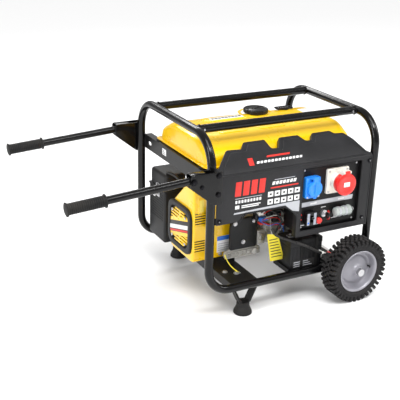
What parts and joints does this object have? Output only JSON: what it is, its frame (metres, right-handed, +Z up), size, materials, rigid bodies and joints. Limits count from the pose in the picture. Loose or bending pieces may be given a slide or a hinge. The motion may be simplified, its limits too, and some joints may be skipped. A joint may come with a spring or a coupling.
{
  "type": "portable generator",
  "caption": "Open-frame petrol generator on two wheels with fold-down lifting handles, a fuel tank on top and a socket panel on its side.",
  "frame": {"origin": "on the ground, below the middle of the whole generator with its handles open", "axes": "+X along the crankshaft from the recoil starter to the wheels, +Y from the control panel to the exhaust side, +Z up"},
  "size_m": [1.1454, 0.722, 0.649],
  "materials": {
    "frame_black": "gloss black stove enamel",
    "tank_yellow": "gloss yellow enamel",
    "shroud_yellow": "gloss yellow enamel on pressed steel",
    "cover_plastic": "textured charcoal moulding",
    "panel_plastic": "fine-textured black moulding",
    "rubber": "matt black rubber",
    "tyre_rubber": "dusty black tyre",
    "rim_paint": "silver-grey enamel",
    "zinc": "bright zinc plate",
    "cast_aluminium": "die-cast",
    "grey_plastic": "dark grey moulding",
    "blue_plastic": "blue moulding",
    "red_plastic": "red moulding",
    "white_plastic": "white moulding",
    "clear_plastic": "clear moulding over white paper",
    "light_grey_plastic": "light grey moulding",
    "black_plastic": "black moulding",
    "cast_iron": "machined",
    "exhaust_steel": "heat-proof grey paint",
    "winding": "laminations and varnished copper",
    "ceramic": "glazed",
    "battery_case": "dark grey battery case",
    "cable": "sheathed cable"
  },
  "bodies": {
    "generator": {"frame_hoops": "frame_black", "bottom_rails": "frame_black", "top_rails": "frame_black", "cross_bars": "frame_black", "tank_bars": "frame_black", "rubber_mounts": "rubber", "foot_brackets": "frame_black", "rubber_feet": "rubber", "axle": "zinc", "axle_caps": "zinc", "handle_brackets": "frame_black", "handle_bolts": "zinc", "tank_upper": "tank_yellow", "tank_lower": "tank_yellow", "fuel_gauge": "black_plastic", "fuel_tap": "zinc", "fuel_hose": "cable", "front_cover": "cover_plastic", "control_panel": "panel_plastic", "cover_screws": "zinc", "blue_socket": "blue_plastic", "cee_socket": "white_plastic", "breaker": "light_grey_plastic", "key_switch": "zinc", "panel_capsule": "clear_plastic", "crankcase": "cast_aluminium", "cylinder_head": "cast_aluminium", "blower_shroud": "shroud_yellow", "recoil_cover": "grey_plastic", "alternator_case": "cast_aluminium", "end_bell": "cast_aluminium", "starter_motor": "black_plastic", "carburettor": "cast_aluminium", "air_cleaner": "grey_plastic", "muffler": "exhaust_steel", "spark_plug": "ceramic", "battery": "battery_case", "battery_tray": "frame_black", "leads": "cable"},
    "front_handle": {"front_handle": "frame_black", "front_grip": "rubber"},
    "rear_handle": {"rear_handle": "frame_black", "rear_grip": "rubber"},
    "front_wheel": {"front_tyre": "tyre_rubber", "front_rim": "rim_paint"},
    "rear_wheel": {"rear_tyre": "tyre_rubber", "rear_rim": "rim_paint"},
    "crank": {"crankshaft": "cast_iron", "flywheel_fan": "cast_iron", "rotor": "winding"},
    "recoil_grip": {"recoil_grip": "rubber"},
    "seal": {"cap_seal": "rubber"},
    "cap": {"fuel_cap": "black_plastic"},
    "tap": {"tap_lever": "red_plastic"},
    "key": {"ignition_key": "black_plastic"},
    "toggle": {"breaker_toggle": "black_plastic"},
    "button": {"reset_button": "red_plastic"},
    "blue_lid": {"blue_lid": "blue_plastic"},
    "cee_lid": {"cee_lid": "red_plastic"},
    "dipstick": {"dipstick": "black_plastic"}
  },
  "joints": [
    {"name": "front_handle_fold", "type": "hinge", "parent": "generator", "child": "front_handle", "pos_m": [-0.17525, -0.296, 0.525], "axis": [0, 1, 0], "range_deg": [-86, 0]},
    {"name": "rear_handle_fold", "type": "hinge", "parent": "generator", "child": "rear_handle", "pos_m": [-0.17525, 0.296, 0.525], "axis": [0, 1, 0], "range_deg": [-86, 0]},
    {"name": "front_wheel_spin", "type": "hinge", "parent": "generator", "child": "front_wheel", "pos_m": [0.45675, -0.317, 0.116], "axis": [0, 1, 0], "continuous": true},
    {"name": "rear_wheel_spin", "type": "hinge", "parent": "generator", "child": "rear_wheel", "pos_m": [0.45675, 0.317, 0.116], "axis": [0, 1, 0], "continuous": true},
    {"name": "crank_spin", "type": "hinge", "parent": "generator", "child": "crank", "pos_m": [0.22375, -0.025, 0.255], "axis": [1, 0, 0], "continuous": true},
    {"name": "recoil_pull", "type": "slide", "parent": "generator", "child": "recoil_grip", "axis": [0, -1, 0], "range_m": [0, 0.9], "stiffness_N_per_m": 20, "springref_m": -0.05},
    {"name": "cap_lift", "type": "slide", "parent": "generator", "child": "seal", "axis": [0, 0, 1], "range_m": [0, 0.08]},
    {"name": "cap_turn", "type": "hinge", "parent": "seal", "child": "cap", "pos_m": [0.27575, 0.088, 0.6], "axis": [0, 0, 1], "range_deg": [0, 90]},
    {"name": "tap_turn", "type": "hinge", "parent": "generator", "child": "tap", "pos_m": [-0.01125, 0.044, 0.444], "axis": [0, 1, 0], "range_deg": [0, 90]},
    {"name": "key_turn", "type": "hinge", "parent": "generator", "child": "key", "pos_m": [0.34575, -0.27, 0.323], "axis": [0, -1, 0], "range_deg": [0, 110]},
    {"name": "toggle_flip", "type": "hinge", "parent": "generator", "child": "toggle", "pos_m": [0.28575, -0.27501, 0.317], "axis": [1, 0, 0], "range_deg": [0, 40]},
    {"name": "button_press", "type": "slide", "parent": "generator", "child": "button", "axis": [0, 1, 0], "range_m": [0, 0.003], "stiffness_N_per_m": 400, "springref_m": -0.002},
    {"name": "blue_lid_swing", "type": "hinge", "parent": "generator", "child": "blue_lid", "pos_m": [0.28375, -0.29351, 0.4665], "axis": [-1, 0, 0], "range_deg": [0, 110], "stiffness_Nm_per_rad": 0.02, "springref_deg": -22.92},
    {"name": "cee_lid_swing", "type": "hinge", "parent": "generator", "child": "cee_lid", "pos_m": [0.38975, -0.31851, 0.479], "axis": [-1, 0, 0], "range_deg": [0, 110], "stiffness_Nm_per_rad": 0.05, "springref_deg": -22.92},
    {"name": "dipstick_turn", "type": "hinge", "parent": "generator", "child": "dipstick", "pos_m": [0.10775, -0.13, 0.19], "axis": [0, -1, 0], "range_deg": [0, 720]}
  ]
}
